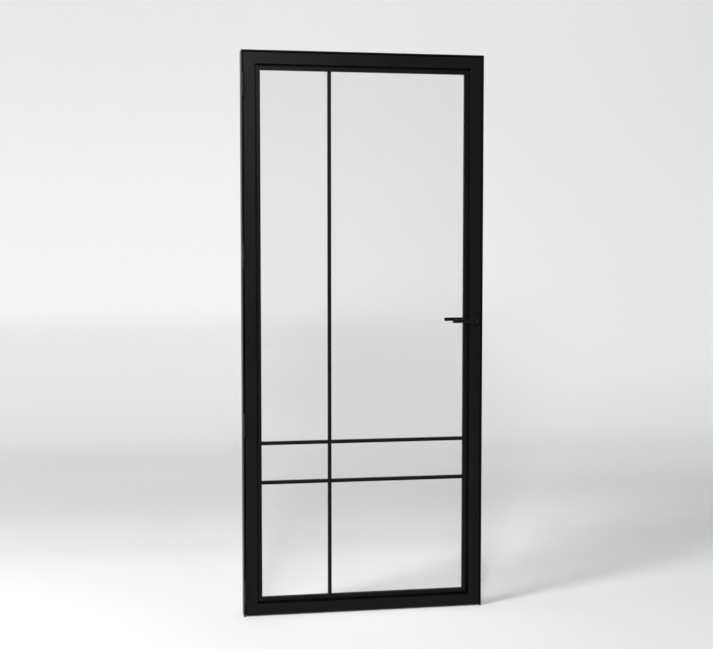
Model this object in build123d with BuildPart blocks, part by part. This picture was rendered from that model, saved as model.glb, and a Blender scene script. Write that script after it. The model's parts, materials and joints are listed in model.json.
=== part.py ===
from build123d import *
import os

os.makedirs("parts", exist_ok=True)

# Millimetres, +Z up. The origin is on the floor, midway between the jambs, in the middle of the
# leaf's thickness. The hinge side is at -X and the leaf opens towards -Y.

# Frame
frame_width = 870.0
frame_height = 2000.0
frame_depth = 60.0
frame_metal = 5.0
stop_width = 20.0
frame_root_fillet = 2.0

# Leaf
leaf_gap = 3.0
floor_gap = 5.0
leaf_depth = 50.0
tube_face = 40.0
tube_wall = 2.0
tube_corner = 1.2

# Glazing
glass_thickness = 6.4
tape_thickness = 0.8
glass_edge_gap = 6.0
bead_width = 19.0
bead_groove = 5.0
bead_flange = 2.0
bead_height = 5.0
bead_edge = 0.5
bar_width = 12.0
bar_edge = 0.6
bar_vertical_x = -123.0
bar_heights = (477.0, 618.0)
tape_inset = 1.0
glass_chamfer = 0.5
block_length = 60.0
block_x = 180.0

# Screws that clamp the strips on the two faces of the glass together
bead_screw_radius = 1.25
bead_screw_head_radius = 2.1
bead_screw_head_height = 1.8
bead_screws_per_stile = 5
bead_screws_per_rail = 3
bead_screw_end = 120.0

# Hinges
hinge_count = 4
hinge_first_z = 90.0
hinge_last_z = 1878.0
barrel_radius = 5.0
barrel_length = 86.0
barrel_stand_off = 0.5
barrel_chamfer = 0.8
pin_radius = 3.0
pin_clearance = 0.05
pin_length = 68.0
washer_thickness = 1.2
washer_clearance = 0.1
foot_width = 4.0
frame_foot_inset = 1.0
frame_foot_gap = 0.3
pin_chamfer = 0.5
pin_end_room = 1.0
washer_inset = 0.2

# Wall fixing
wall_screw_radius = 4.0
wall_sink_radius = 7.4
wall_screw_low = (160.0, 500.0)
wall_screw_high = (1450.0, 1790.0)
head_screw_x = 250.0

# Lock
lever_height = 1050.0
backset = 25.0
case_depth = 16.0
case_back_x = 390.5
case_bottom = 975.0
case_top = 1125.0
case_wall = 1.2
forend_width = 20.0
forend_thickness = 3.0
forend_bottom = 945.0
forend_top = 1165.0
forend_screw_inset = 12.0
forend_screw_radius = 2.0
screw_head_radius = 3.8
socket_share = 0.6
tab_height = 16.0
tab_thickness = 4.0
latch_height = 1095.0
latch_size = (11.0, 20.0)
latch_back_x = 402.0
latch_recess = 0.5
latch_clearance = 0.5
latch_nose_fillet = 1.0
tail_thickness = 3.0
tail_offset = 2.3
tail_x = 410.0
tail_step = 1069.0
tail_root = 1.0
hook_x = (392.0, 394.3)
hook_top = 1075.0
hook_bottom = 1061.0
hub_radius = 9.0
boss_radius = 7.0
boss_proud = 0.4
hub_clearance = 0.3
running_clearance = 0.05
arm_radius = 14.6
arm_tip_radius = 2.35
arm_thickness = 4.0
arm_width = 3.0
arm_rest_angle = 20.0
spindle_size = 8.0
spindle_length = 94.0
spindle_chamfer = 0.8

# Strike
strike_plate_size = (24.0, 100.0)
strike_plate_thickness = 2.0
strike_hole_size = (13.0, 22.0)
strike_screw_spacing = 84.0
box_outer = (17.0, 40.0)
magnet_size = (2.4, 12.0, 6.0)
magnet_offset = 15.0
magnet_chamfer = 0.4

# Levers
lever_bar_radius = 6.5
neck_radius = 8.0
lever_stand_off = 40.0
lever_tip_x = 315.0
lever_bend = 8.0
neck_inner_y = 12.0
neck_outer_y = 53.0
neck_fillet = 1.2
bar_start = 4.0
tip_fillet = 1.5
bush_radius = 11.0
bush_flange_radius = 12.5
bush_flange = 1.0
grub_radius = 2.5
grub_y = 36.0
grub_recess = 0.5
grub_socket_radius = 1.3
grub_socket_depth = 1.5

# Seals
seal_width = 10.0
seal_base = 1.5
seal_clearance = 0.4

# Worked out from the dimensions above
half_width = frame_width / 2
half_depth = leaf_depth / 2
stop_face = frame_depth - half_depth - frame_metal
leaf_left = -half_width + frame_metal + leaf_gap
leaf_right = -leaf_left
leaf_top = frame_height - frame_metal - leaf_gap
glazing_left = leaf_left + tube_face
glazing_right = -glazing_left
glazing_bottom = floor_gap + tube_face
glazing_top = leaf_top - tube_face
view_left = glazing_left + bead_width
view_right = -view_left
view_bottom = glazing_bottom + bead_width
view_top = glazing_top - bead_width
glass_face = glass_thickness / 2
bead_seat = glass_face + tape_thickness
bead_face = bead_seat + bead_height
spindle_x = leaf_right - backset
jamb_inner_x = half_width - frame_metal
hinge_x = -half_width + barrel_radius
hinge_y = -half_depth - barrel_stand_off - barrel_radius
hinge_heights = [
    hinge_first_z + (hinge_last_z - hinge_first_z) * n / (hinge_count - 1)
    for n in range(hinge_count)
]


def finish(part, name):
    """Label a piece and write it to its own file."""
    part.label = name
    export_step(part, f"parts/{name}.step")


def edge_runs(left, right, bottom, top):
    """Planes for the four members round a rectangle: local x inwards, local y through the door."""
    width = right - left
    height = top - bottom
    return {
        "hinge": (Plane(origin=(left, 0, bottom), x_dir=(1, 0, 0), z_dir=(0, 0, 1)), height),
        "top": (Plane(origin=(left, 0, top), x_dir=(0, 0, -1), z_dir=(1, 0, 0)), width),
        "lock": (Plane(origin=(right, 0, top), x_dir=(-1, 0, 0), z_dir=(0, 0, -1)), height),
        "bottom": (Plane(origin=(right, 0, bottom), x_dir=(0, 0, 1), z_dir=(-1, 0, 0)), width),
    }


def mitres(run, length, at_start=True, at_end=True):
    """The 45 degree planes that trim a member, each facing the part that stays."""
    cuts = []
    if at_start:
        cuts.append(Plane(origin=run.origin, z_dir=run.z_dir - run.x_dir))
    if at_end:
        cuts.append(Plane(origin=run.origin + run.z_dir * length, z_dir=-run.z_dir - run.x_dir))
    return cuts


def member(section, run, length, cuts):
    """A straight member of one section, trimmed by its mitre planes."""
    with BuildPart() as bar:
        with BuildSketch(run):
            add(section)
        extrude(amount=length)
        for cut in cuts:
            split(bisect_by=cut, keep=Keep.TOP)
    return bar.part


# Frame: an angle section whose short leg is the stop behind the leaf
with BuildSketch() as frame_section:
    with BuildLine():
        Polyline(
            (0, -half_depth),
            (frame_metal, -half_depth),
            (frame_metal, stop_face),
            (stop_width, stop_face),
            (stop_width, stop_face + frame_metal),
            (0, stop_face + frame_metal),
            close=True,
        )
    make_face()
    root = frame_section.vertices().sort_by_distance((frame_metal, stop_face))[0]
    fillet(root, radius=frame_root_fillet)

frame_runs = edge_runs(-half_width, half_width, 0, frame_height)
hinge_run, jamb_length = frame_runs["hinge"]
head_run, head_length = frame_runs["top"]
lock_run, lock_length = frame_runs["lock"]


def wall_hole_planes(x, towards, heights):
    """Planes on a jamb's inner face for the countersunk wall screws."""
    return [Plane(origin=(x, 0, z), z_dir=(towards, 0, 0)) for z in heights]


with BuildPart() as frame_hinge_jamb:
    add(member(frame_section.sketch, hinge_run, jamb_length, mitres(hinge_run, jamb_length, False)))
    with Locations(*wall_hole_planes(-jamb_inner_x, 1, wall_screw_low + wall_screw_high)):
        CounterSinkHole(wall_screw_radius, wall_sink_radius, depth=frame_metal, counter_sink_angle=90)
finish(frame_hinge_jamb.part, "frame_hinge_jamb")

with BuildPart() as frame_head:
    add(member(frame_section.sketch, head_run, head_length, mitres(head_run, head_length)))
    head_holes = [
        Plane(origin=(x, 0, frame_height - frame_metal), z_dir=(0, 0, -1))
        for x in (-head_screw_x, head_screw_x)
    ]
    with Locations(*head_holes):
        CounterSinkHole(wall_screw_radius, wall_sink_radius, depth=frame_metal, counter_sink_angle=90)
finish(frame_head.part, "frame_head")

strike_plane = Plane(origin=(jamb_inner_x, 0, latch_height), x_dir=(0, 1, 0), z_dir=(1, 0, 0))
strike_screw_points = [(0, -strike_screw_spacing / 2), (0, strike_screw_spacing / 2)]
strike_sink_planes = [
    Plane(origin=(jamb_inner_x, 0, latch_height + z), z_dir=(-1, 0, 0)) for _, z in strike_screw_points
]

with BuildPart() as frame_lock_jamb:
    add(member(frame_section.sketch, lock_run, lock_length, mitres(lock_run, lock_length, True, False)))
    with Locations(*wall_hole_planes(jamb_inner_x, -1, wall_screw_low + wall_screw_high)):
        CounterSinkHole(wall_screw_radius, wall_sink_radius, depth=frame_metal, counter_sink_angle=90)
    with BuildSketch(strike_plane):
        Rectangle(*strike_plate_size)
    extrude(amount=strike_plate_thickness, mode=Mode.SUBTRACT)
    with BuildSketch(strike_plane):
        Rectangle(*box_outer)
    extrude(amount=frame_metal, mode=Mode.SUBTRACT)
    with BuildSketch(strike_plane):
        with Locations(*strike_screw_points):
            Circle(forend_screw_radius)
    extrude(amount=frame_metal, mode=Mode.SUBTRACT)
finish(frame_lock_jamb.part, "frame_lock_jamb")

with BuildPart() as strike_plate:
    with BuildSketch(strike_plane):
        Rectangle(*strike_plate_size)
        Rectangle(*strike_hole_size, mode=Mode.SUBTRACT)
    extrude(amount=strike_plate_thickness)
    with Locations(*strike_sink_planes):
        CounterSinkHole(
            forend_screw_radius,
            screw_head_radius,
            depth=strike_plate_thickness,
            counter_sink_angle=90,
        )
finish(strike_plate.part, "strike_plate")

# Behind the plate a sleeve lines the hole for the bolt and holds a magnet above and below it
sleeve_plane = strike_plane.offset(strike_plate_thickness)
magnet_points = [(0, -magnet_offset), (0, magnet_offset)]
with BuildPart() as strike_box:
    with BuildSketch(sleeve_plane):
        Rectangle(*box_outer)
        Rectangle(*strike_hole_size, mode=Mode.SUBTRACT)
    extrude(amount=frame_metal - strike_plate_thickness)
    with BuildSketch(sleeve_plane):
        with Locations(*magnet_points):
            Rectangle(*magnet_size[1:])
    extrude(amount=magnet_size[0], mode=Mode.SUBTRACT)
finish(strike_box.part, "strike_box")

with BuildPart() as strike_magnet:
    with BuildSketch(sleeve_plane):
        with Locations(*magnet_points):
            Rectangle(*magnet_size[1:])
    extrude(amount=magnet_size[0])
    chamfer(strike_magnet.faces().sort_by(Axis.X)[0:2].edges(), length=magnet_chamfer)
finish(strike_magnet.part, "strike_magnet")


def countersunk_screw(head_plane, shank_radius, head_radius, length):
    """A countersunk screw with a hexagon socket, its head flush with the plane it enters."""
    cone = head_radius - shank_radius
    with BuildPart() as screw:
        with BuildSketch(head_plane):
            Circle(head_radius)
        extrude(amount=-cone, taper=45)
        with BuildSketch(head_plane.offset(-cone)):
            Circle(shank_radius)
        extrude(amount=-(length - cone))
        with BuildSketch(head_plane):
            RegularPolygon(shank_radius * socket_share, 6)
        extrude(amount=-cone, mode=Mode.SUBTRACT)
    return screw.part


with BuildPart() as strike_screws:
    for plane in strike_sink_planes:
        add(countersunk_screw(plane, forend_screw_radius, screw_head_radius, frame_metal))
finish(strike_screws.part, "strike_screws")

# Rubber seals on the stop, with a rounded lip that the leaf closes against
seal_reach = stop_face - half_depth - seal_clearance
with BuildSketch() as seal_section:
    with BuildLine():
        base = Polyline(
            (stop_width - seal_width, stop_face - seal_base),
            (stop_width - seal_width, stop_face),
            (stop_width, stop_face),
            (stop_width, stop_face - seal_base),
        )
        ThreePointArc(
            base @ 1,
            (stop_width - seal_width / 2, stop_face - seal_reach),
            base @ 0,
        )
    make_face()

seal_cuts = {
    "hinge": mitres(hinge_run, jamb_length, False),
    "top": mitres(head_run, head_length),
    "lock": mitres(lock_run, lock_length, True, False),
}
for side, name in (("hinge", "seal_hinge_side"), ("top", "seal_head"), ("lock", "seal_lock_side")):
    run, length = frame_runs[side]
    finish(member(seal_section.sketch, run, length, seal_cuts[side]), name)

# Leaf: hollow tubes, mitred at the corners
with BuildSketch() as tube_section:
    with Locations((tube_face / 2, 0)):
        RectangleRounded(tube_face, leaf_depth, tube_corner)
        Rectangle(tube_face - 2 * tube_wall, leaf_depth - 2 * tube_wall, mode=Mode.SUBTRACT)

leaf_runs = edge_runs(leaf_left, leaf_right, floor_gap, leaf_top)
for side, name in (
    ("hinge", "leaf_hinge_stile"),
    ("top", "leaf_top_rail"),
    ("bottom", "leaf_bottom_rail"),
):
    run, length = leaf_runs[side]
    finish(member(tube_section.sketch, run, length, mitres(run, length)), name)

lock_stile_run, lock_stile_length = leaf_runs["lock"]
spindle_plane = Plane(origin=(spindle_x, 0, lever_height), x_dir=(1, 0, 0), z_dir=(0, -1, 0))
forend_middle = (forend_bottom + forend_top) / 2
forend_height = forend_top - forend_bottom
forend_plane = Plane(origin=(leaf_right, 0, forend_middle), x_dir=(0, 1, 0), z_dir=(1, 0, 0))

with BuildPart() as leaf_lock_stile:
    add(
        member(
            tube_section.sketch,
            lock_stile_run,
            lock_stile_length,
            mitres(lock_stile_run, lock_stile_length),
        )
    )
    with BuildSketch(spindle_plane):
        Circle(bush_radius)
    extrude(amount=leaf_depth, both=True, mode=Mode.SUBTRACT)
    with BuildSketch(forend_plane):
        Rectangle(forend_width, forend_height)
    extrude(amount=-tube_wall, mode=Mode.SUBTRACT)
finish(leaf_lock_stile.part, "leaf_lock_stile")

# Glass, its setting blocks and the tape on both faces
glass_left = glazing_left + glass_edge_gap
glass_bottom = glazing_bottom + glass_edge_gap
glass_width = -2 * glass_left
glass_height = glazing_top - glass_edge_gap - glass_bottom
glass_middle = glass_bottom + glass_height / 2
with BuildPart() as glass_pane:
    with Locations((0, 0, glass_middle)):
        Box(glass_width, glass_thickness, glass_height)
    chamfer(glass_pane.edges().filter_by(Axis.Z), length=glass_chamfer)
finish(glass_pane.part, "glass_pane")

with BuildPart() as setting_blocks:
    with Locations(*[(x, 0, glazing_bottom + glass_edge_gap / 2) for x in (-block_x, block_x)]):
        Box(block_length, glass_thickness, glass_edge_gap)
finish(setting_blocks.part, "setting_blocks")

view_width = view_right - view_left
view_height = view_top - view_bottom
view_middle = (view_top + view_bottom) / 2


def glazing_tape(towards):
    """The tape on one face of the glass, under the strips and under the bars."""
    face = Plane(origin=(0, towards * glass_face, 0), x_dir=(1, 0, 0), z_dir=(0, -1, 0))
    with BuildPart() as tape:
        with BuildSketch(face):
            with Locations((0, view_middle)):
                Rectangle(glass_width, glass_height)
                Rectangle(
                    view_width + 2 * tape_inset,
                    view_height + 2 * tape_inset,
                    mode=Mode.SUBTRACT,
                )
            with Locations((bar_vertical_x, view_middle)):
                Rectangle(bar_width - 2 * tape_inset, view_height + 2 * tape_inset)
            with Locations(*[(0, z) for z in bar_heights]):
                Rectangle(view_width + 2 * tape_inset, bar_width - 2 * tape_inset)
        extrude(amount=-towards * tape_thickness)
    return tape.part


finish(glazing_tape(-1), "front_glazing_tape")
finish(glazing_tape(1), "back_glazing_tape")

# Glazing strips: a flat flange against the tube and a raised land round the view
with BuildSketch() as bead_section:
    with BuildLine():
        Polyline(
            (0, bead_seat),
            (bead_width, bead_seat),
            (bead_width, bead_face),
            (bead_groove, bead_face),
            (bead_groove, bead_seat + bead_flange),
            (0, bead_seat + bead_flange),
            close=True,
        )
    make_face()
    land_corners = bead_section.vertices().group_by(Axis.Y)[-1]
    chamfer(land_corners, length=bead_edge)

with BuildSketch() as front_bead_section:
    mirror(bead_section.sketch, about=Plane.XZ)

bead_runs = edge_runs(glazing_left, glazing_right, glazing_bottom, glazing_top)


def screw_points(run, length, count):
    """Places along a strip's groove for the clamping screws, at the mid-plane of the glass."""
    step = (length - 2 * bead_screw_end) / (count - 1)
    return [
        run.origin + run.x_dir * (bead_groove / 2) + run.z_dir * (bead_screw_end + n * step)
        for n in range(count)
    ]


def screw_axes(points):
    """Planes at the given points, facing the back of the door."""
    return [Plane(origin=point, z_dir=(0, 1, 0)) for point in points]


all_screw_axes = []
for side, (run, length) in bead_runs.items():
    count = bead_screws_per_stile if side in ("hinge", "lock") else bead_screws_per_rail
    axes = screw_axes(screw_points(run, length, count))
    all_screw_axes.extend(axes)
    for face_name, section in (("front", front_bead_section), ("back", bead_section)):
        with BuildPart() as strip:
            add(member(section.sketch, run, length, mitres(run, length)))
            with Locations(*axes):
                Cylinder(bead_screw_radius, 4 * bead_face, mode=Mode.SUBTRACT)
        finish(strip.part, f"{face_name}_bead_{side}")

bead_floor = bead_seat + bead_flange
with BuildPart() as bead_screws:
    for axis_plane in all_screw_axes:
        with BuildSketch(axis_plane.offset(-bead_floor)):
            Circle(bead_screw_radius)
        extrude(amount=2 * bead_floor)
        with BuildSketch(axis_plane.offset(bead_floor)):
            Circle(bead_screw_head_radius)
        extrude(amount=bead_screw_head_height)
finish(bead_screws.part, "bead_screws")


# Glazing bars: flat bars, the horizontals butted against the vertical
def glazing_bar(x_from, x_to, z_from, z_to, towards):
    """One flat bar on one face of the glass."""
    with BuildPart() as bar:
        with Locations(
            (
                (x_from + x_to) / 2,
                towards * (bead_seat + bead_face) / 2,
                (z_from + z_to) / 2,
            )
        ):
            Box(x_to - x_from, bead_height, z_to - z_from)
        outer = bar.faces().sort_by(Axis.Y)[-1 if towards > 0 else 0]
        long_axis = Axis.Z if z_to - z_from > x_to - x_from else Axis.X
        chamfer(outer.edges().filter_by(long_axis), length=bar_edge)
    return bar.part


half_bar = bar_width / 2
for face_name, towards in (("front", -1), ("back", 1)):
    upright = glazing_bar(
        bar_vertical_x - half_bar, bar_vertical_x + half_bar, view_bottom, view_top, towards
    )
    finish(upright, f"{face_name}_bar_vertical")
    for level, z in zip(("lower", "upper"), bar_heights):
        for part_name, x_from, x_to in (
            ("short", view_left, bar_vertical_x - half_bar),
            ("long", bar_vertical_x + half_bar, view_right),
        ):
            crossbar = glazing_bar(x_from, x_to, z - half_bar, z + half_bar, towards)
            finish(crossbar, f"{face_name}_bar_{level}_{part_name}")

# Hinges: a barrel in two halves, each welded on by its foot
half_barrel = barrel_length / 2
half_washer = washer_thickness / 2
half_pin = pin_length / 2


def knuckle(z_from, z_to, foot_from, foot_to, bore_radius, bore_from, bore_to):
    """One half of a barrel with its weld foot and the blind hole for the pin."""
    with BuildPart() as half:
        with BuildSketch(Plane.XY.offset(z_from)):
            with Locations((hinge_x, hinge_y)):
                Circle(barrel_radius)
        extrude(amount=z_to - z_from)
        chamfer(half.edges().filter_by(GeomType.CIRCLE), length=barrel_chamfer)
        with BuildSketch(Plane.XY.offset(z_from + barrel_chamfer)):
            with Locations(((foot_from + foot_to) / 2, (hinge_y - half_depth) / 2)):
                Rectangle(foot_to - foot_from, -half_depth - hinge_y)
        extrude(amount=z_to - z_from - 2 * barrel_chamfer)
        with BuildSketch(Plane.XY.offset(bore_from)):
            with Locations((hinge_x, hinge_y)):
                Circle(bore_radius)
        extrude(amount=bore_to - bore_from, mode=Mode.SUBTRACT)
    return half.part


for number, z in enumerate(hinge_heights, start=1):
    frame_half = knuckle(
        z - half_barrel,
        z - half_washer,
        -half_width + frame_foot_inset,
        -half_width + frame_metal - frame_foot_gap,
        pin_radius,
        z - half_pin,
        z - half_washer,
    )
    finish(frame_half, f"hinge_{number}_frame_knuckle")
    leaf_half = knuckle(
        z + half_washer + washer_clearance,
        z + half_barrel,
        leaf_left,
        leaf_left + foot_width,
        pin_radius + pin_clearance,
        z + half_washer + washer_clearance,
        z + half_pin + pin_end_room,
    )
    finish(leaf_half, f"hinge_{number}_leaf_knuckle")

with BuildPart() as hinge_pins:
    with Locations(*[(hinge_x, hinge_y, z) for z in hinge_heights]):
        Cylinder(pin_radius, pin_length)
    chamfer(hinge_pins.edges().filter_by(GeomType.CIRCLE), length=pin_chamfer)
finish(hinge_pins.part, "hinge_pins")

with BuildPart() as hinge_washers:
    with Locations(*[(hinge_x, hinge_y, z) for z in hinge_heights]):
        Cylinder(barrel_radius - washer_inset, washer_thickness)
        Cylinder(pin_radius, washer_thickness, mode=Mode.SUBTRACT)
finish(hinge_washers.part, "hinge_washers")

# Lock: a narrow case behind a flush forend
half_case = case_depth / 2
case_front_x = leaf_right - forend_thickness
case_height = case_top - case_bottom
case_middle = (case_top + case_bottom) / 2
case_width = case_front_x - case_back_x
latch_width, latch_rise = latch_size
latch_hole = (latch_width + 2 * latch_clearance, latch_rise + 2 * latch_clearance)

with BuildPart() as lock_case:
    with Locations(((case_front_x + case_back_x) / 2, -case_wall / 2, case_middle)):
        Box(case_width, case_depth - case_wall, case_height)
    open_side = lock_case.faces().sort_by(Axis.Y)[-1]
    offset(amount=-case_wall, openings=open_side)
    with BuildSketch(spindle_plane):
        Circle(boss_radius + running_clearance)
    extrude(amount=case_depth, mode=Mode.SUBTRACT)
    with BuildSketch(Plane(origin=(case_front_x, 0, latch_height), x_dir=(0, 1, 0), z_dir=(1, 0, 0))):
        Rectangle(*latch_hole)
    extrude(amount=-2 * case_wall, mode=Mode.SUBTRACT)
finish(lock_case.part, "lock_case")

with BuildPart() as lock_cover:
    with Locations(((case_front_x + case_back_x) / 2, half_case - case_wall / 2, case_middle)):
        Box(case_width, case_wall, case_height)
    with BuildSketch(spindle_plane):
        Circle(boss_radius + running_clearance)
    extrude(amount=-case_depth, mode=Mode.SUBTRACT)
finish(lock_cover.part, "lock_cover")

forend_screw_offset = forend_height / 2 - forend_screw_inset
forend_sinks = [
    Plane(origin=(leaf_right, 0, forend_middle + z), z_dir=(1, 0, 0))
    for z in (-forend_screw_offset, forend_screw_offset)
]
with BuildPart() as lock_forend:
    with BuildSketch(forend_plane):
        Rectangle(forend_width, forend_height)
        with Locations((0, latch_height - forend_middle)):
            Rectangle(*latch_hole, mode=Mode.SUBTRACT)
    extrude(amount=-forend_thickness)
    with Locations(*forend_sinks):
        CounterSinkHole(
            forend_screw_radius,
            screw_head_radius,
            depth=forend_thickness,
            counter_sink_angle=90,
        )
finish(lock_forend.part, "lock_forend")

with BuildPart() as lock_mounting_tabs:
    for sink in forend_sinks:
        with BuildSketch(sink.offset(-forend_thickness)):
            Rectangle(tab_height, leaf_depth - 2 * tube_wall)
            Circle(forend_screw_radius, mode=Mode.SUBTRACT)
        extrude(amount=-tab_thickness)
finish(lock_mounting_tabs.part, "lock_mounting_tabs")

with BuildPart() as forend_screws:
    for sink in forend_sinks:
        add(
            countersunk_screw(
                sink,
                forend_screw_radius,
                screw_head_radius,
                forend_thickness + tab_thickness,
            )
        )
finish(forend_screws.part, "forend_screws")

# Latch bolt: drawn back flush at rest, with a tail that hooks behind the follower's arm
latch_front_x = leaf_right - latch_recess
latch_bottom = latch_height - latch_rise / 2
with BuildPart() as latch_bolt:
    with Locations(((latch_back_x + latch_front_x) / 2, 0, latch_height)):
        Box(latch_front_x - latch_back_x, latch_width, latch_rise)
    nose = latch_bolt.faces().sort_by(Axis.X)[-1]
    fillet(nose.edges(), radius=latch_nose_fillet)
    tail_plane = Plane(origin=(0, tail_offset, 0), x_dir=(1, 0, 0), z_dir=(0, -1, 0))
    with BuildSketch(tail_plane):
        with BuildLine():
            Polyline(
                (latch_back_x, latch_bottom + tail_root),
                (tail_x, latch_bottom + tail_root),
                (tail_x, tail_step),
                (hook_x[1], tail_step),
                (hook_x[1], hook_bottom),
                (hook_x[0], hook_bottom),
                (hook_x[0], hook_top),
                (latch_back_x, hook_top),
                close=True,
            )
        make_face()
    extrude(amount=-tail_thickness)
finish(latch_bolt.part, "latch_bolt")

# Follower: the hub that the spindle turns, with one arm that draws the latch back
hub_half = half_case - case_wall - hub_clearance
with BuildPart() as follower:
    with BuildSketch(spindle_plane):
        Circle(hub_radius)
    extrude(amount=hub_half, both=True)
    with BuildSketch(spindle_plane):
        Circle(boss_radius)
    extrude(amount=half_case + boss_proud, both=True)
    with BuildSketch(spindle_plane):
        with Locations(Location((0, 0, 0), (0, 0, -arm_rest_angle))):
            with Locations((0, arm_radius / 2)):
                Rectangle(arm_width, arm_radius)
            with Locations((0, arm_radius)):
                Circle(arm_tip_radius)
    extrude(amount=arm_thickness / 2, both=True)
    with BuildSketch(spindle_plane):
        Rectangle(spindle_size, spindle_size)
    extrude(amount=case_depth, both=True, mode=Mode.SUBTRACT)
finish(follower.part, "follower")

with BuildPart() as spindle:
    with BuildSketch(spindle_plane):
        Rectangle(spindle_size, spindle_size)
    extrude(amount=spindle_length / 2, both=True)
    chamfer(spindle.faces().filter_by(Axis.Y).edges(), length=spindle_chamfer)
finish(spindle.part, "spindle")

# Levers: a turned neck and a round bar bent towards the hinge side
bar_y = half_depth + lever_stand_off


def lever(towards):
    """One lever: neck through the stile, bend, bar to the tip and the square for the spindle."""
    neck_plane = Plane(
        origin=(spindle_x, towards * neck_inner_y, lever_height),
        x_dir=(1, 0, 0),
        z_dir=(0, towards, 0),
    )
    grub_hole = Plane(origin=(spindle_x, towards * grub_y, lever_height), z_dir=(0, 0, -1))
    with BuildPart() as handle:
        with BuildSketch(neck_plane):
            Circle(neck_radius)
        extrude(amount=neck_outer_y - neck_inner_y)
        outer_end = handle.faces().sort_by(Axis.Y)[-1 if towards > 0 else 0]
        fillet(outer_end.edges(), radius=neck_fillet)
        with BuildLine():
            route = FilletPolyline(
                (spindle_x, towards * (neck_outer_y - bar_start), lever_height),
                (spindle_x, towards * bar_y, lever_height),
                (lever_tip_x, towards * bar_y, lever_height),
                radius=lever_bend,
            )
        with BuildSketch(Plane(origin=route @ 0, z_dir=route % 0)):
            Circle(lever_bar_radius)
        sweep(path=route)
        tip = handle.faces().sort_by(Axis.X)[0]
        fillet(tip.edges(), radius=tip_fillet)
        with BuildSketch(neck_plane):
            Rectangle(spindle_size, spindle_size)
        extrude(amount=spindle_length / 2 - neck_inner_y, mode=Mode.SUBTRACT)
        with BuildSketch(grub_hole):
            Circle(grub_radius)
        extrude(amount=neck_radius, mode=Mode.SUBTRACT)
    return handle.part


finish(lever(-1), "lever_front")
finish(lever(1), "lever_back")

grub_length = neck_radius - spindle_size / 2 - grub_recess
with BuildPart() as grub_screws:
    for y in (-grub_y, grub_y):
        grub_plane = Plane(
            origin=(spindle_x, y, lever_height - spindle_size / 2), z_dir=(0, 0, -1)
        )
        with BuildSketch(grub_plane):
            Circle(grub_radius)
        extrude(amount=grub_length)
        with BuildSketch(grub_plane.offset(grub_length)):
            RegularPolygon(grub_socket_radius, 6)
        extrude(amount=-grub_socket_depth, mode=Mode.SUBTRACT)
finish(grub_screws.part, "grub_screws")

with BuildPart() as lever_bushes:
    for towards in (-1, 1):
        wall_plane = Plane(
            origin=(spindle_x, towards * half_depth, lever_height), z_dir=(0, towards, 0)
        )
        with BuildSketch(wall_plane):
            Circle(bush_radius)
            Circle(neck_radius + running_clearance, mode=Mode.SUBTRACT)
        extrude(amount=-tube_wall)
        with BuildSketch(wall_plane.offset(-tube_wall)):
            Circle(bush_flange_radius)
            Circle(neck_radius + running_clearance, mode=Mode.SUBTRACT)
        extrude(amount=-bush_flange)
finish(lever_bushes.part, "lever_bushes")
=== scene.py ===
import json
import math

import bmesh
import bpy
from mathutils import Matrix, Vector


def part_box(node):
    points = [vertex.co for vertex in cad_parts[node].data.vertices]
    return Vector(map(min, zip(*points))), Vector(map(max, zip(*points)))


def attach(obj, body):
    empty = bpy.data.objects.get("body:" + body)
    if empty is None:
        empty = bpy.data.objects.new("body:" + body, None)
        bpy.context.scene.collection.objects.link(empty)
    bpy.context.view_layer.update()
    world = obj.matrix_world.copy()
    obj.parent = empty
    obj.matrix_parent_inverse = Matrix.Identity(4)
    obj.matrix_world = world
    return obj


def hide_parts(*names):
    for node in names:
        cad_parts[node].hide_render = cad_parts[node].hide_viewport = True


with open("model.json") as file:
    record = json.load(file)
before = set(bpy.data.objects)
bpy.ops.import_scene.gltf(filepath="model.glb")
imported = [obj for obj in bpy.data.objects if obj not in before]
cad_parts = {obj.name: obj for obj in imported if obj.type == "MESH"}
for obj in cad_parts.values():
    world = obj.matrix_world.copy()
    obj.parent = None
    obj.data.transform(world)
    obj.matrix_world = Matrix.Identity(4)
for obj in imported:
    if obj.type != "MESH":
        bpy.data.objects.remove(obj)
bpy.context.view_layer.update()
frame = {"nodes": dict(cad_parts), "record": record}
cadNodes = frame["nodes"]
bodyOf = {node: body for body, nodes in frame["record"]["behaviour"]["bodies"].items() for node in nodes}
slotOf = {part["node"]: part["material_slot"] for part in frame["record"]["subparts"]}
near = 1e-5        # metres within which two places count as one
rimShare = 0.95    # an edge is on a round rim if its middle is further out than this share of the radius
print("frame loaded,", len(cadNodes), "nodes")

bpy.context.scene.view_settings.view_transform = "Standard"


# Selecting and editing, as by hand

def deselectAll():
    if bpy.context.object and bpy.context.object.mode != "OBJECT":
        bpy.ops.object.mode_set(mode="OBJECT")
    bpy.ops.object.select_all(action="DESELECT")


def makeActive(piece):
    deselectAll()
    piece.select_set(True)
    bpy.context.view_layer.objects.active = piece


def startEdit(piece, mode):
    makeActive(piece)
    bpy.ops.object.mode_set(mode="EDIT")
    bpy.ops.mesh.select_mode(type=mode)
    bpy.ops.mesh.select_all(action="DESELECT")


def endEdit():
    bpy.ops.object.mode_set(mode="OBJECT")


def pick(piece, kind, test):
    # kind is "edges" or "faces"; what passes the test is added to the selection
    mesh = bmesh.from_edit_mesh(piece.data)
    for item in getattr(mesh, kind):
        if test(item):
            item.select_set(True)
    bmesh.update_edit_mesh(piece.data)


def middle(item):
    return sum((v.co for v in item.verts), Vector()) / len(item.verts)


def drawOut(reach, widen=1.0, around=None):
    # pulls the selection out by reach, then makes it wider or slimmer about a point
    bpy.ops.mesh.extrude_region_move(TRANSFORM_OT_translate={"value": reach})
    if widen != 1.0:
        bpy.ops.transform.resize(value=(widen, widen, widen), center_override=around)


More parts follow.
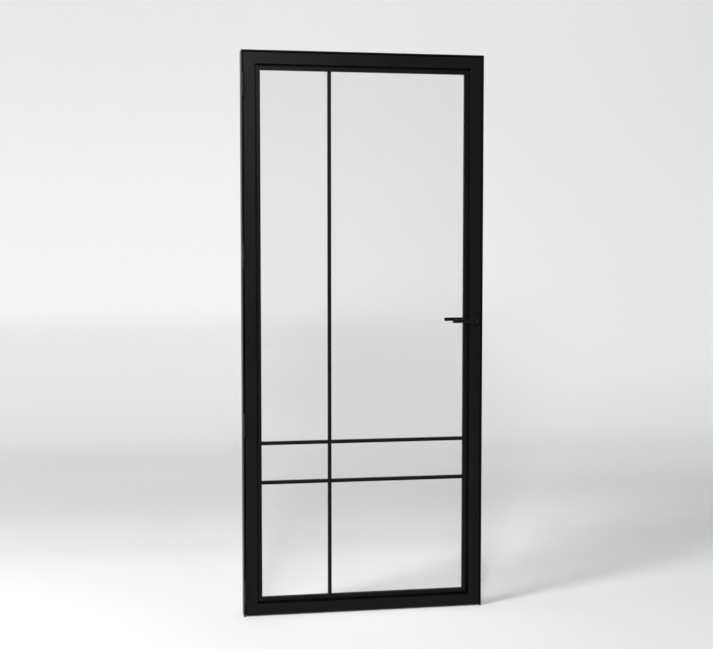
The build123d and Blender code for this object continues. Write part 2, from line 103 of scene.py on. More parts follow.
def cleanUp(piece):
    startEdit(piece, "VERT")
    bpy.ops.mesh.select_all(action="SELECT")
    bpy.ops.mesh.remove_doubles(threshold=near / 10)
    bpy.ops.mesh.normals_make_consistent(inside=False)
    endEdit()


def smoothOver(piece, degrees):
    makeActive(piece)
    bpy.ops.object.shade_smooth_by_angle(angle=math.radians(degrees))


def keepFlat(piece):
    # broad faces shade flat, and only the rounded edges turn the light
    weighed = piece.modifiers.new("keepFlat", "WEIGHTED_NORMAL")
    weighed.keep_sharp = True
    makeActive(piece)
    bpy.ops.object.modifier_apply(modifier=weighed.name)


def settle(piece, name):
    # the place goes into the mesh, and the object stays at the origin
    makeActive(piece)
    bpy.ops.object.transform_apply(location=True, rotation=True, scale=True)
    piece.name = name
    piece.data.name = name
    return piece


def copyTo(piece, name, move):
    copy = piece.copy()
    copy.data = piece.data.copy()
    bpy.context.scene.collection.objects.link(copy)
    copy.location = move
    return settle(copy, name)


def joinInto(name, pieces):
    makeActive(pieces[0])
    for piece in pieces:
        piece.select_set(True)
    bpy.ops.object.join()
    return settle(bpy.context.object, name)


def combine(piece, tool, operation):
    makeActive(piece)
    cut = piece.modifiers.new("combine", "BOOLEAN")
    cut.operation = operation
    cut.solver = "EXACT"
    cut.object = tool
    bpy.ops.object.modifier_apply(modifier=cut.name)
    bpy.data.objects.remove(tool)


def dress(piece, material, body, slotName, *stoodFor):
    piece.data.materials.clear()
    piece.data.materials.append(material)
    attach(piece, body)
    if stoodFor:
        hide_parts(*stoodFor)
    return piece


def pieceNameOf(node):
    words = node.split("_")
    return words[0] + "".join(word.capitalize() for word in words[1:])


# Camera, at the place the photograph was taken from
cameraFit = {
    "place": (-0.81573, -4.51949, 1.32451),
    "tilt": 86.43,            # degrees up from straight down
    "turn": -9.93,            # degrees from straight ahead, where less than zero is to the right
    "focalPixels": 1282.42,
    "imageWidth": 713,
    "sensor": 36.0,
}


def addCamera(fit):
    turned = (math.radians(fit["tilt"]), 0, math.radians(fit["turn"]))
    bpy.ops.object.camera_add(location=fit["place"], rotation=turned)
    camera = bpy.context.object
    camera.name = "photoCamera"
    camera.data.sensor_width = fit["sensor"]
    camera.data.lens = fit["focalPixels"] * fit["sensor"] / fit["imageWidth"]
    bpy.context.scene.camera = camera


# Lights: a broad lamp high on the left, a smaller one in front, and a soft pale surrounding
studio = {
    "surround": (0.985, 0.99, 1.0),
    "surroundLight": 0.33,
    "keyPlace": (-4.6, -2.5, 3.9),
    "keySize": (1.6, 1.6),
    "keyPower": 272.0,
    "frontPlace": (-1.45, -5.4, 3.25),
    "frontSize": (0.8, 0.9),      # across and upwards
    "frontPower": 180.0,
    "aim": (0.0, 0.0, 0.9),
}


def addLamp(name, place, size, power, aim):
    bpy.ops.object.light_add(type="AREA", location=place)
    lamp = bpy.context.object
    lamp.name = name
    lamp.data.shape = "ELLIPSE"
    lamp.data.size, lamp.data.size_y = size
    lamp.data.energy = power
    lamp.rotation_euler = (Vector(aim) - Vector(place)).to_track_quat("-Z", "Y").to_euler()


def addLights(look):
    addLamp("keyLamp", look["keyPlace"], look["keySize"], look["keyPower"], look["aim"])
    addLamp("frontLamp", look["frontPlace"], look["frontSize"], look["frontPower"], look["aim"])
    world = bpy.data.worlds.new("studioSurround")
    bpy.context.scene.world = world
    world.use_nodes = True
    background = world.node_tree.nodes["Background"]
    background.inputs["Color"].default_value = (*look["surround"], 1)
    background.inputs["Strength"].default_value = look["surroundLight"]


# Shared effects, each a node group that puts out a tone, a roughness and a height

def addNode(tree, kind, settings=None, **inputs):
    node = tree.nodes.new(kind)
    for key, value in (settings or {}).items():
        setattr(node, key, value)
    for key, value in inputs.items():
        node.inputs[key.replace("_", " ")].default_value = value
    return node


def addMath(tree, operation, first, second):
    node = addNode(tree, "ShaderNodeMath", {"operation": operation})
    for slotIndex, value in enumerate((first, second)):
        if isinstance(value, (int, float)):
            node.inputs[slotIndex].default_value = value
        else:
            tree.links.new(value, node.inputs[slotIndex])
    return node.outputs[0]


def startGroup(name, inputs, outputs):
    group = bpy.data.node_groups.new(name, "ShaderNodeTree")
    for label, kind, value in inputs:
        made = group.interface.new_socket(name=label, in_out="INPUT", socket_type=kind)
        made.default_value = value
    for label, kind in outputs:
        group.interface.new_socket(name=label, in_out="OUTPUT", socket_type=kind)
    return group, group.nodes.new("NodeGroupInput"), group.nodes.new("NodeGroupOutput")


number, colour, vector = "NodeSocketFloat", "NodeSocketColor", "NodeSocketVector"
finishOutputs = [("Tone", colour), ("Roughness", number), ("Height", number)]


def tintedTone(group, tone, spread, pattern):
    # the tone made lighter and darker by a pattern that runs from 0 to 1
    swing = addMath(group, "MULTIPLY", addMath(group, "SUBTRACT", pattern, 0.5), spread)
    factor = addMath(group, "ADD", swing, 1.0)
    scaled = addNode(group, "ShaderNodeVectorMath", {"operation": "SCALE"})
    group.links.new(tone, scaled.inputs[0])
    group.links.new(factor, scaled.inputs["Scale"])
    return scaled.outputs[0]


def noiseAt(group, place, scale, detail, roughness=0.5):
    noise = addNode(group, "ShaderNodeTexNoise", Detail=detail, Roughness=roughness)
    group.links.new(place, noise.inputs["Vector"])
    if isinstance(scale, (int, float)):
        noise.inputs["Scale"].default_value = scale
    else:
        group.links.new(scale, noise.inputs["Scale"])
    return noise.outputs["Fac"]


def blendOf(group, first, second, share):
    # first and second added up, with this share of the second
    return addMath(
        group,
        "ADD",
        addMath(group, "MULTIPLY", first, addMath(group, "SUBTRACT", 1.0, share)),
        addMath(group, "MULTIPLY", second, share),
    )


def giveOut(group, given, result, pattern, height):
    # sends the pattern into tone and roughness, about the values the material gives
    tone = tintedTone(group, given.outputs["Tone"], given.outputs["Tone Spread"], pattern)
    centred = addMath(group, "SUBTRACT", pattern, 0.5)
    swing = addMath(group, "MULTIPLY", centred, given.outputs["Roughness Spread"])
    group.links.new(tone, result.inputs["Tone"])
    group.links.new(addMath(group, "ADD", given.outputs["Roughness"], swing), result.inputs["Roughness"])
    group.links.new(height, result.inputs["Height"])


def makeCoatGroup():
    # sprayed or moulded skin: fine grain on a soft orange peel, with faint cloudy tone
    group, given, result = startGroup(
        "coatSkin",
        [
            ("Tone", colour, (0.02, 0.02, 0.02, 1)),
            ("Tone Spread", number, 0.3),
            ("Grain Scale", number, 1500.0),
            ("Peel Scale", number, 300.0),
            ("Cloud Scale", number, 7.0),
            ("Roughness", number, 0.5),
            ("Roughness Spread", number, 0.2),
            ("Grain Share", number, 0.5),
        ],
        finishOutputs,
    )
    place = addNode(group, "ShaderNodeTexCoord").outputs["Object"]
    grain = noiseAt(group, place, given.outputs["Grain Scale"], detail=2.0)
    peel = noiseAt(group, place, given.outputs["Peel Scale"], detail=1.0, roughness=0.3)
    cloud = noiseAt(group, place, given.outputs["Cloud Scale"], detail=4.0, roughness=0.55)
    height = blendOf(group, peel, grain, given.outputs["Grain Share"])
    giveOut(group, given, result, blendOf(group, cloud, grain, share=0.3), height)
    return group


def makeBrushedGroup():
    # rolled or brushed metal: long fine lines one way, over faint broad patches
    group, given, result = startGroup(
        "brushedLines",
        [
            ("Tone", colour, (0.5, 0.5, 0.5, 1)),
            ("Tone Spread", number, 0.2),
            ("Line Scale", vector, (20.0, 900.0, 900.0)),
            ("Patch Scale", number, 40.0),
            ("Roughness", number, 0.3),
            ("Roughness Spread", number, 0.2),
        ],
        finishOutputs,
    )
    place = addNode(group, "ShaderNodeTexCoord").outputs["Object"]
    stretched = addNode(group, "ShaderNodeMapping")
    group.links.new(place, stretched.inputs["Vector"])
    group.links.new(given.outputs["Line Scale"], stretched.inputs["Scale"])
    lines = noiseAt(group, stretched.outputs[0], scale=1.0, detail=3.0, roughness=0.6)
    patches = noiseAt(group, place, given.outputs["Patch Scale"], detail=3.0)
    giveOut(group, given, result, blendOf(group, lines, patches, share=0.4), lines)
    return group


coatSkin = makeCoatGroup()
brushedLines = makeBrushedGroup()


# Finishes

def startMaterial(name):
    material = bpy.data.materials.new(name)
    material.use_nodes = True
    tree = material.node_tree
    tree.nodes.clear()
    output = tree.nodes.new("ShaderNodeOutputMaterial")
    shader = tree.nodes.new("ShaderNodeBsdfPrincipled")
    tree.links.new(shader.outputs["BSDF"], output.inputs["Surface"])
    return material, tree, shader


def makeFinish(name, look):
    # an effect with this finish's values, how deep its relief is, and the shader's plain sockets
    material, tree, shader = startMaterial(name)
    effect = tree.nodes.new("ShaderNodeGroup")
    effect.node_tree = look["effect"]
    for label, value in look["values"].items():
        effect.inputs[label].default_value = value
    raised = addNode(tree, "ShaderNodeBump", Strength=look["relief"], Distance=look["depth"])
    tree.links.new(effect.outputs["Tone"], shader.inputs["Base Color"])
    tree.links.new(effect.outputs["Roughness"], shader.inputs["Roughness"])
    tree.links.new(effect.outputs["Height"], raised.inputs["Height"])
    tree.links.new(raised.outputs["Normal"], shader.inputs["Normal"])
    for label, value in look["plain"].items():
        shader.inputs[label].default_value = value
    return material


finishLooks = {
    "doorCoat": {          # matt black powder coat on the steel
        "effect": coatSkin,
        "values": {
            "Tone": (0.0018, 0.0018, 0.0019, 1),
            "Tone Spread": 0.5,
            "Grain Scale": 1700.0,
            "Peel Scale": 420.0,
            "Cloud Scale": 6.0,
            "Roughness": 0.38,
            "Roughness Spread": 0.2,
            "Grain Share": 0.45,
        },
        "relief": 0.22,
        "depth": 0.0003,
        "plain": {"Specular IOR Level": 0.14},
    },
    "hingeCoat": {         # the same coat over turned barrels and welds
        "effect": coatSkin,
        "values": {
            "Tone": (0.005, 0.005, 0.0052, 1),
            "Tone Spread": 0.5,
            "Grain Scale": 2200.0,
            "Peel Scale": 700.0,
            "Cloud Scale": 60.0,
            "Roughness": 0.42,
            "Roughness Spread": 0.2,
            "Grain Share": 0.4,
        },
        "relief": 0.35,
        "depth": 0.0003,
        "plain": {"Specular IOR Level": 0.14},
    },
    "leverCoat": {         # smoother satin coat on the levers
        "effect": coatSkin,
        "values": {
            "Tone": (0.0034, 0.0034, 0.0036, 1),
            "Tone Spread": 0.35,
            "Grain Scale": 3200.0,
            "Peel Scale": 900.0,
            "Cloud Scale": 35.0,
            "Roughness": 0.36,
            "Roughness Spread": 0.14,
            "Grain Share": 0.35,
        },
        "relief": 0.2,
        "depth": 0.0002,
        "plain": {"Specular IOR Level": 0.11},
    },
    "sealRubber": {
        "effect": coatSkin,
        "values": {
            "Tone": (0.008, 0.008, 0.008, 1),
            "Tone Spread": 0.4,
            "Grain Scale": 2600.0,
            "Peel Scale": 260.0,
            "Cloud Scale": 25.0,
            "Roughness": 0.68,
            "Roughness Spread": 0.18,
            "Grain Share": 0.7,
        },
        "relief": 0.3,
        "depth": 0.0002,
        "plain": {"Specular IOR Level": 0.25},
    },
    "tapeFoam": {
        "effect": coatSkin,
        "values": {
            "Tone": (0.007, 0.007, 0.007, 1),
            "Tone Spread": 0.6,
            "Grain Scale": 3000.0,
            "Peel Scale": 1200.0,
            "Cloud Scale": 30.0,
            "Roughness": 0.85,
            "Roughness Spread": 0.2,
            "Grain Share": 0.6,
        },
        "relief": 0.6,
        "depth": 0.0003,
        "plain": {"Specular IOR Level": 0.15},
    },
    "blackNylon": {        # bushes, washers and the strike's sleeve
        "effect": coatSkin,
        "values": {
            "Tone": (0.009, 0.009, 0.0095, 1),
            "Tone Spread": 0.3,
            "Grain Scale": 2400.0,
            "Peel Scale": 500.0,
            "Cloud Scale": 40.0,
            "Roughness": 0.52,
            "Roughness Spread": 0.16,
            "Grain Share": 0.6,
        },
        "relief": 0.25,
        "depth": 0.0002,
        "plain": {"Specular IOR Level": 0.35},
    },
    "blackScrew": {        # blackened screws
        "effect": coatSkin,
        "values": {
            "Tone": (0.008, 0.008, 0.0085, 1),
            "Tone Spread": 0.5,
            "Grain Scale": 3000.0,
            "Peel Scale": 1100.0,
            "Cloud Scale": 120.0,
            "Roughness": 0.4,
            "Roughness Spread": 0.2,
            "Grain Share": 0.5,
        },
        "relief": 0.25,
        "depth": 0.0002,
        "plain": {"Specular IOR Level": 0.35},
    },
    "blockPlastic": {
        "effect": coatSkin,
        "values": {
            "Tone": (0.045, 0.045, 0.046, 1),
            "Tone Spread": 0.35,
            "Grain Scale": 1800.0,
            "Peel Scale": 400.0,
            "Cloud Scale": 50.0,
            "Roughness": 0.6,
            "Roughness Spread": 0.2,
            "Grain Share": 0.5,
        },
        "relief": 0.25,
        "depth": 0.0003,
        "plain": {},
    },
    "brightSteel": {       # zinc plated pins and screws
        "effect": brushedLines,
        "values": {
            "Tone": (0.56, 0.56, 0.57, 1),
            "Tone Spread": 0.3,
            "Line Scale": (900.0, 900.0, 60.0),
            "Patch Scale": 120.0,
            "Roughness": 0.3,
            "Roughness Spread": 0.22,
        },
        "relief": 0.15,
        "depth": 0.0002,
        "plain": {"Metallic": 1.0},
    },
    "zincSheet": {         # the lock's case and works
        "effect": brushedLines,
        "values": {
            "Tone": (0.50, 0.51, 0.53, 1),
            "Tone Spread": 0.4,
            "Line Scale": (500.0, 500.0, 30.0),
            "Patch Scale": 90.0,
            "Roughness": 0.42,
            "Roughness Spread": 0.25,
        },
        "relief": 0.15,
        "depth": 0.0002,
        "plain": {"Metallic": 1.0},
    },
    "brushedStainless": {  # forend, latch bolt and strike plate
        "effect": brushedLines,
        "values": {
            "Tone": (0.47, 0.465, 0.455, 1),
            "Tone Spread": 0.3,
            "Line Scale": (1400.0, 1400.0, 12.0),
            "Patch Scale": 30.0,
            "Roughness": 0.34,
            "Roughness Spread": 0.24,
        },
        "relief": 0.25,
        "depth": 0.0002,
        "plain": {"Metallic": 1.0},
    },
    "nickelSkin": {        # magnets
        "effect": brushedLines,
        "values": {
            "Tone": (0.66, 0.65, 0.62, 1),
            "Tone Spread": 0.2,
            "Line Scale": (300.0, 300.0, 300.0),
            "Patch Scale": 200.0,
            "Roughness": 0.2,
            "Roughness Spread": 0.16,
        },
        "relief": 0.1,
        "depth": 0.0001,
        "plain": {"Metallic": 1.0},
    },
}
finishes = {name: makeFinish(name, look) for name, look in finishLooks.items()}

paneLook = {
    "tint": (0.925, 0.93, 0.928, 1),
    "lampLight": (0.50, 0.505, 0.503, 1),   # how much of the slanting lamp light the pane lets through
    "index": 1.52,
    "waveScale": 5.0,       # the pane's faint rolling, in waves per metre
    "waveStrength": 0.04,
    "waveDepth": 0.0004,
    "filmScale": 14.0,      # a barely seen film on the surface
    "filmFrom": 0.35,
    "filmTo": 0.75,
    "roughest": 0.02,
}


def makePane(look):
    material, tree, shader = startMaterial("paneGlass")
    place = addNode(tree, "ShaderNodeTexCoord").outputs["Object"]
    film = noiseAt(tree, place, look["filmScale"], detail=5.0, roughness=0.6)
    roughness = addNode(
        tree,
        "ShaderNodeMapRange",
        From_Min=look["filmFrom"],
        From_Max=look["filmTo"],
        To_Min=0.0,
        To_Max=look["roughest"],
    )
    tree.links.new(film, roughness.inputs["Value"])
    tree.links.new(roughness.outputs[0], shader.inputs["Roughness"])
    wave = noiseAt(tree, place, look["waveScale"], detail=1.0, roughness=0.3)
    raised = addNode(tree, "ShaderNodeBump", Strength=look["waveStrength"], Distance=look["waveDepth"])
    tree.links.new(wave, raised.inputs["Height"])
    tree.links.new(raised.outputs["Normal"], shader.inputs["Normal"])
    shader.inputs["Base Color"].default_value = look["tint"]
    shader.inputs["Transmission Weight"].default_value = 1.0
    shader.inputs["IOR"].default_value = look["index"]
    clear = addNode(tree, "ShaderNodeBsdfTransparent", Color=look["lampLight"])
    rays = addNode(tree, "ShaderNodeLightPath")
    mix = addNode(tree, "ShaderNodeMixShader")
    output = next(n for n in tree.nodes if n.type == "OUTPUT_MATERIAL")
    tree.links.new(rays.outputs["Is Shadow Ray"], mix.inputs[0])
    tree.links.new(shader.outputs["BSDF"], mix.inputs[1])
    tree.links.new(clear.outputs["BSDF"], mix.inputs[2])
    tree.links.new(mix.outputs[0], output.inputs["Surface"])
    return material


paneGlass = makePane(paneLook)
print("finishes made")

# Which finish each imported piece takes, by how its name starts
finishOf = {
    "seal_": "sealRubber",
    "hinge_pins": "brightSteel",
    "hinge_washers": "blackNylon",
    "hinge_": "hingeCoat",
    "lever_bushes": "blackNylon",
    "lever_": "leverCoat",
    "front_glazing_tape": "tapeFoam",
    "back_glazing_tape": "tapeFoam",
    "setting_blocks": "blockPlastic",
    "strike_box": "blackNylon",
    "strike_magnet": "nickelSkin",
    "strike_plate": "brushedStainless",
    "strike_screws": "brightSteel",
    "forend_screws": "brightSteel",
    "bead_screws": "blackScrew",
    "grub_screws": "brightSteel",
    "spindle": "brightSteel",
    "lock_forend": "brushedStainless",
    "latch_bolt": "brushedStainless",
    "lock_": "zincSheet",
    "follower": "zincSheet",
}


def finishFor(node):
    if node == "glass_pane":
        return paneGlass
    for start, finishName in finishOf.items():
        if node.startswith(start):
            return finishes[finishName]
    return finishes["doorCoat"]


for nodeName, packed in cadNodes.items():
    packed.data.materials.clear()
    packed.data.materials.append(finishFor(nodeName))
print("packed pieces dressed")

# Floor and backdrop in one sweep of pale paper
sweep = {
    "halfWidth": 16.0,
    "front": -12.0,
    "bendStart": 3.6,
    "bendRadius": 3.0,
    "height": 9.0,
    "bendSteps": 32,
}
sweepLook = {
    # metres along the floor and then up the backdrop, and how pale the paper is painted there: its own
    # pale tone with painted shade, darker at the front and in the band where the floor bends up, where the
    # lamps' light falls off
    "tones": {
        -2.0: 0.76,
        0.75: 0.94,
        1.15: 0.89,
        2.0: 0.80,
        3.2: 0.75,
        4.4: 0.78,
        5.6: 0.81,
        7.5: 0.81,
        10.0: 0.77,
    },
    # a painted pool of lamp light on the backdrop, strongest at the left
    "pool": {6.0: 0.0, 6.6: 1.0, 7.8: 0.85, 10.0: 0.4},
    "poolGain": 0.12,
    "poolFrom": 0.2,
    "poolTo": 3.0,
    # painted light: a glow the paper gives to the camera, in reflections and through the glass, so that it
    # stays pale away from the lamps
    "glow": {
        -3.0: 0.12,
        -1.6: 0.03,
        0.3: 0.04,
        1.0: 0.04,
        2.0: 0.09,
        3.2: 0.20,
        4.4: 0.26,
        6.0: 0.29,
        10.0: 0.27,
    },
    "glowFrom": -1.5,
    "glowTo": 3.5,
    "glowLeft": 0.87,
    "glowRight": 1.18,
    "start": -3.0,           # where the rows above begin, and how far they reach
    "length": 15.0,
    "fibreScale": 90.0,
    "smoothest": 0.75,
    "roughest": 0.95,
    "specular": 0.1,
}


def addSweep(shape, material):
    depth = shape["bendStart"] - shape["front"]
    bpy.ops.mesh.primitive_plane_add(size=1, location=(0, shape["front"] + depth / 2, 0))
    floor = bpy.context.object
    bpy.ops.transform.resize(value=(2 * shape["halfWidth"], depth, 1))
    settle(floor, "floorSweep")
    startEdit(floor, "EDGE")
    pick(floor, "edges", lambda e: abs(middle(e).y - shape["bendStart"]) < near)
    bpy.ops.mesh.spin(
        steps=shape["bendSteps"],
        angle=-math.pi / 2,
        center=(0, shape["bendStart"], shape["bendRadius"]),
        axis=(1, 0, 0),
    )
    drawOut((0, 0, shape["height"] - shape["bendRadius"]))
    endEdit()
    smoothOver(floor, 30)
    floor.data.materials.append(material)


def rampAlong(tree, along, look, points):
    position = addMath(tree, "DIVIDE", addMath(tree, "SUBTRACT", along, look["start"]), look["length"])
    ramp = addNode(tree, "ShaderNodeValToRGB")
    ramp.color_ramp.interpolation = "EASE"
    stops = ramp.color_ramp.elements
    while len(stops) < len(points):
        stops.new(0.5)
    for stop, (distance, tone) in zip(stops, sorted(points.items())):
        stop.position = (distance - look["start"]) / look["length"]
        stop.color = (tone, tone, tone, 1)
    tree.links.new(position, ramp.inputs[0])
    return ramp.outputs[0]


def rangeOf(tree, value, start, end, first, last):
    mapped = addNode(tree, "ShaderNodeMapRange", {"interpolation_type": "SMOOTHSTEP"})
    for label, setTo in (("From Min", start), ("From Max", end), ("To Min", first), ("To Max", last)):
        mapped.inputs[label].default_value = setTo
    tree.links.new(value, mapped.inputs["Value"])
    return mapped.outputs[0]


def makeSweepPaper(look):
    material, tree, shader = startMaterial("sweepPaper")
    place = addNode(tree, "ShaderNodeTexCoord").outputs["Object"]
    parts = addNode(tree, "ShaderNodeSeparateXYZ")
    tree.links.new(place, parts.inputs[0])
    along = addMath(tree, "ADD", parts.outputs["Y"], parts.outputs["Z"])
    # the paper's pale tone with painted shade along the sweep
    paperWithPaintedShade = rampAlong(tree, along, look, look["tones"])
    # the painted pool of lamp light along the sweep, and below how strong it is across, fading out to the
    # right
    pool = rampAlong(tree, along, look, look["pool"])
    across = parts.outputs["X"]
    side = rangeOf(tree, across, look["poolFrom"], look["poolTo"], look["poolGain"], 0.0)
    # the paper's colour: its pale tone with painted shade, plus the painted pool of lamp light
    tone = addMath(tree, "ADD", paperWithPaintedShade, addMath(tree, "MULTIPLY", pool, side))
    tree.links.new(tone, shader.inputs["Base Color"])
    # painted light: the paper glows for the camera, in reflections and through the glass, more to the
    # right where the lamps reach less
    glow = rampAlong(tree, along, look, look["glow"])
    lift = rangeOf(tree, across, look["glowFrom"], look["glowTo"], look["glowLeft"], look["glowRight"])
    tree.links.new(addMath(tree, "MULTIPLY", glow, lift), shader.inputs["Emission Color"])
    rays = addNode(tree, "ShaderNodeLightPath")
    seen = addMath(tree, "MAXIMUM", rays.outputs["Is Camera Ray"], rays.outputs["Is Glossy Ray"])
    seenAny = addMath(tree, "MAXIMUM", seen, rays.outputs["Is Transmission Ray"])
    tree.links.new(seenAny, shader.inputs["Emission Strength"])
    fibre = noiseAt(tree, place, look["fibreScale"], detail=3.0)
    roughness = rangeOf(tree, fibre, 0.0, 1.0, look["smoothest"], look["roughest"])
    tree.links.new(roughness, shader.inputs["Roughness"])
    shader.inputs["Specular IOR Level"].default_value = look["specular"]
    return material


addCamera(cameraFit)
addLights(studio)
addSweep(sweep, makeSweepPaper(sweepLook))
print("camera, lights and sweep in place")


# Steel sections whose long edges the coat has softened; the mitred ends stay tight
softEdges = {
    # how a node's name starts: radius, and the shortest edge that is rounded
    "frame_": (0.0006, 0.03),
    "front_bead_": (0.00022, 0.02),
    "back_bead_": (0.00022, 0.02),
    "front_bar_": (0.00022, 0.02),
    "back_bar_": (0.00022, 0.02),
}
softening = {
    "flatWithin": 0.5,         # degrees between faces that are really one
    "sharpFrom": 40,           # degrees at an edge that the coat softens
    "straightShare": 0.9999,   # how much of an edge's length lies along X or Z
    "segments": 2,
}


def softCopy(node, radius, leastLength):
    source = cadNodes[node]
    piece = bpy.data.objects.new(pieceNameOf(node), source.data.copy())
    piece.data.name = piece.name
    bpy.context.scene.collection.objects.link(piece)
    startEdit(piece, "VERT")
    bpy.ops.mesh.select_all(action="SELECT")
    bpy.ops.mesh.remove_doubles(threshold=near)
    bpy.ops.mesh.dissolve_limited(angle_limit=math.radians(softening["flatWithin"]))
    bpy.ops.mesh.select_mode(type="EDGE")
    bpy.ops.mesh.select_all(action="DESELECT")

    def isSharp(edge):
        run = edge.verts[1].co - edge.verts[0].co
        if len(edge.link_faces) != 2 or run.length < leastLength:
            return False
        if max(abs(run.x), abs(run.z)) < run.length * softening["straightShare"]:
            return False
        return edge.calc_face_angle() > math.radians(softening["sharpFrom"]) and edge.is_convex

    pick(piece, "edges", isSharp)
    bpy.ops.mesh.bevel(offset=radius, segments=softening["segments"], profile=0.5, clamp_overlap=False)
    endEdit()
    smoothOver(piece, 30)
    keepFlat(piece)
    return dress(piece, finishFor(node), bodyOf[node], slotOf[node], node)


for start, (radius, leastLength) in softEdges.items():
    for nodeName in sorted(cadNodes):
        if nodeName.startswith(start):
            softCopy(nodeName, radius, leastLength)
print("steel sections softened")


# Hinges: each half barrel is turned, with a blind hole for the pin, and stands on its foot
hinge = {
    "axis": (-0.430, -0.0305),
    "barrelRadius": 0.005,
    "endRound": 0.0009,
    "splitRound": 0.0003,
    "roundSegments": 4,
    "footReach": 0.0055,       # from the axis back to the steel it is welded on
    "footEdge": 0.0004,
    "boreOverrun": 0.001,
    "sides": 48,
    # heights are from the middle of the barrel, and the foot runs from one X to another
    "frameHalf": {
        "low": -0.043,
        "high": -0.0006,
        "foot": (-0.434, -0.4303),
        "bore": 0.0030,
        "boreDepth": 0.0334,
    },
    "leafHalf": {
        "low": 0.0007,
        "high": 0.043,
        "foot": (-0.427, -0.423),
        "bore": 0.00305,
        "boreDepth": 0.0343,
    },
}


def makeKnuckle(shape, half, name, centre):
    # the split is at the end nearer to the middle of the barrel
    axisX, axisY = shape["axis"]
    low, high = centre + half["low"], centre + half["high"]
    split, inwards = (high, -1) if abs(half["high"]) < abs(half["low"]) else (low, 1)
    bpy.ops.mesh.primitive_cylinder_add(
        vertices=shape["sides"],
        radius=shape["barrelRadius"],
        depth=high - low,
        location=(axisX, axisY, (low + high) / 2),
    )
    knuckle = settle(bpy.context.object, name)
    startEdit(knuckle, "FACE")
    pick(knuckle, "faces", lambda f: abs(middle(f).z - split) < near)
    bpy.ops.mesh.inset(thickness=shape["barrelRadius"] - half["bore"])
    drawOut((0, 0, inwards * half["boreDepth"]))
    bpy.ops.mesh.select_mode(type="EDGE")

    def onRim(edge, height):
        level = all(abs(v.co.z - height) < near for v in edge.verts)
        away = math.hypot(middle(edge).x - axisX, middle(edge).y - axisY)
        return level and away > shape["barrelRadius"] * rimShare

    for height, radius in ((split, shape["splitRound"]), (low + high - split, shape["endRound"])):
        bpy.ops.mesh.select_all(action="DESELECT")
        pick(knuckle, "edges", lambda e: onRim(e, height))
        bpy.ops.mesh.bevel(offset=radius, segments=shape["roundSegments"], profile=0.5, clamp_overlap=True)
    endEdit()
    footFrom, footTo = half["foot"]
    room = shape["endRound"]
    bpy.ops.mesh.primitive_cube_add(
        size=1,
        location=((footFrom + footTo) / 2, axisY + shape["footReach"] / 2, (low + high) / 2),
        scale=(footTo - footFrom, shape["footReach"], high - low - 2 * room),
    )
    foot = settle(bpy.context.object, "foot")
    startEdit(foot, "EDGE")
    pick(foot, "edges", lambda e: abs((e.verts[0].co - e.verts[1].co).y) > near)
    bpy.ops.mesh.bevel(offset=shape["footEdge"], segments=2, profile=0.5, clamp_overlap=True)
    endEdit()
    hole = bore(shape, half, split, inwards)
    combine(knuckle, foot, "UNION")
    combine(knuckle, hole, "DIFFERENCE")
    smoothOver(knuckle, 32)
    return knuckle


def bore(shape, half, split, inwards):
    # clears the pin's hole again where the foot has been added
    axisX, axisY = shape["axis"]
    bpy.ops.mesh.primitive_cylinder_add(
        vertices=shape["sides"],
        radius=half["bore"],
        depth=half["boreDepth"] + shape["boreOverrun"],
        location=(axisX, axisY, split + inwards * (half["boreDepth"] - shape["boreOverrun"]) / 2),
    )
    return settle(bpy.context.object, "hole")


# Weld runs along the feet: a bead of overlapping ripples for each side, copied to its other feet
weld = {
    "radius": 0.00095,
    "ripple": 0.0011,          # length of one ripple
    "swell": 1.14,
    "endShare": 0.45,          # how slim the two ends are
    "keptBack": 4,             # half ripples left off the run, two of them made by the ends
    "length": 0.036,
    "sides": 14,
}


def makeWeldBead(shape, place):
    bpy.ops.mesh.primitive_circle_add(
        vertices=shape["sides"], radius=shape["radius"], fill_type="NGON", location=place
    )
    bead = settle(bpy.context.object, "weldBead")
    startEdit(bead, "FACE")
    pick(bead, "faces", lambda f: True)
    x, y, z = place
    bpy.ops.transform.resize(value=(shape["endShare"],) * 3, center_override=place)
    step = shape["ripple"] / 2
    z += step
    drawOut((0, 0, step), 1 / shape["endShare"], (x, y, z))
    for turn in range(2 * round(shape["length"] / shape["ripple"]) - shape["keptBack"]):
        z += step
        drawOut((0, 0, step), 1 / shape["swell"] if turn % 2 == 0 else shape["swell"], (x, y, z))
    z += step
    drawOut((0, 0, step), shape["endShare"], (x, y, z))
    endEdit()
    cleanUp(bead)
    smoothOver(bead, 60)
    return bead


def makeHinges(shape, seam):
    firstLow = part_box("hinge_1_frame_knuckle")[0].z
    firstCentre = firstLow - shape["frameHalf"]["low"]
    for halfName, side, weldEnd in (("frameHalf", "frame", 0), ("leafHalf", "leaf", 1)):
        half = shape[halfName]
        weldX = half["foot"][weldEnd]     # the end of the foot away from the gap
        ending = side.capitalize() + "Knuckle"
        first = makeKnuckle(shape, half, "hinge1" + ending, firstCentre)
        back = shape["axis"][1] + shape["footReach"]
        beadFoot = firstCentre + (half["low"] + half["high"]) / 2 - seam["length"] / 2
        firstBead = makeWeldBead(seam, (weldX, back, beadFoot))
        beads = [firstBead]
        for count in (1, 2, 3, 4):
            node = f"hinge_{count}_{side}_knuckle"
            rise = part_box(node)[0].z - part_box(f"hinge_1_{side}_knuckle")[0].z
            piece = first
            if count > 1:
                piece = copyTo(first, f"hinge{count}{ending}", (0, 0, rise))
                beads.append(copyTo(firstBead, f"weldBead{count}", (0, 0, rise)))
            dress(piece, finishes["hingeCoat"], side, "hinge_coat", node)
        welds = joinInto(side + "HingeWelds", beads)
        dress(welds, finishes["hingeCoat"], side, "hinge_coat")


makeHinges(hinge, weld)
print("hinges made")


# Screws that clamp the glazing strips: a shank, a rounded head at the back and a hexagon socket
beadScrew = {
    "shankRadius": 0.00125,
    "headRadius": 0.0021,
    "headHeight": 0.0018,
    "headRound": 0.0007,
    "floor": 0.006,            # the groove's floor, from the middle of the glass
    "socketRadius": 0.00105,
    "socketDepth": 0.0010,
    "sides": 24,
}


